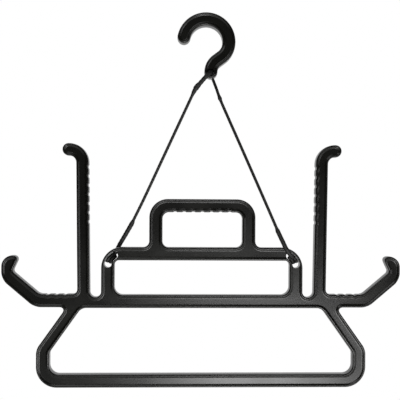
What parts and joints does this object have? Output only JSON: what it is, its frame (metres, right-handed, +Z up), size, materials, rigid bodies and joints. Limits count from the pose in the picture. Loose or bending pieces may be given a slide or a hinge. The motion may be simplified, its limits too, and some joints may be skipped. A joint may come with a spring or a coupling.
{
  "type": "wetsuit hanger",
  "caption": "Moulded hanger frame with a carrying handle, posts and side arms, hung by a cord bridle from a loose hook.",
  "frame": {"origin": "the hook's seat: the top of its inner arch, half way through its thickness", "axes": "+Z up, +X to the right as seen from the front, front face towards -Y"},
  "size_m": [0.556, 0.0315, 0.5227],
  "materials": {
    "hook_plastic": "satin moulded black",
    "frame_plastic": "satin moulded black",
    "cord": "braided black polypropylene"
  },
  "bodies": {
    "hook_body": {"hook": "hook_plastic"},
    "eye_cord": {"cord_eye_turn": "cord", "cord_eye_drop": "cord"},
    "bridle": {"cord_left_top_splice": "cord", "cord_left_span": "cord", "cord_left_foot_splice": "cord", "cord_right_top_span": "cord", "cord_right_tail": "cord", "cord_right_span": "cord", "cord_right_foot_splice": "cord"},
    "frame_body": {"frame_moulding": "frame_plastic", "cord_left_end": "cord", "cord_right_end": "cord", "left_stopper_knot": "cord", "right_stopper_knot": "cord"}
  },
  "joints": [
    {"name": "bridle_sway", "type": "hinge", "parent": "hook_body", "child": "eye_cord", "pos_m": [0.00677, 0, -0.06436], "axis": [0, 1, 0], "range_deg": [-35, 35]},
    {"name": "bridle_turn", "type": "hinge", "parent": "eye_cord", "child": "bridle", "pos_m": [0.00677, 0, -0.07685], "axis": [0, 0, 1], "range_deg": [-40, 40]},
    {"name": "frame_fold", "type": "hinge", "parent": "bridle", "child": "frame_body", "pos_m": [-0.0047, 0, -0.3044], "axis": [0.9954, -0.0958, 0], "range_deg": [-80, 80]}
  ]
}
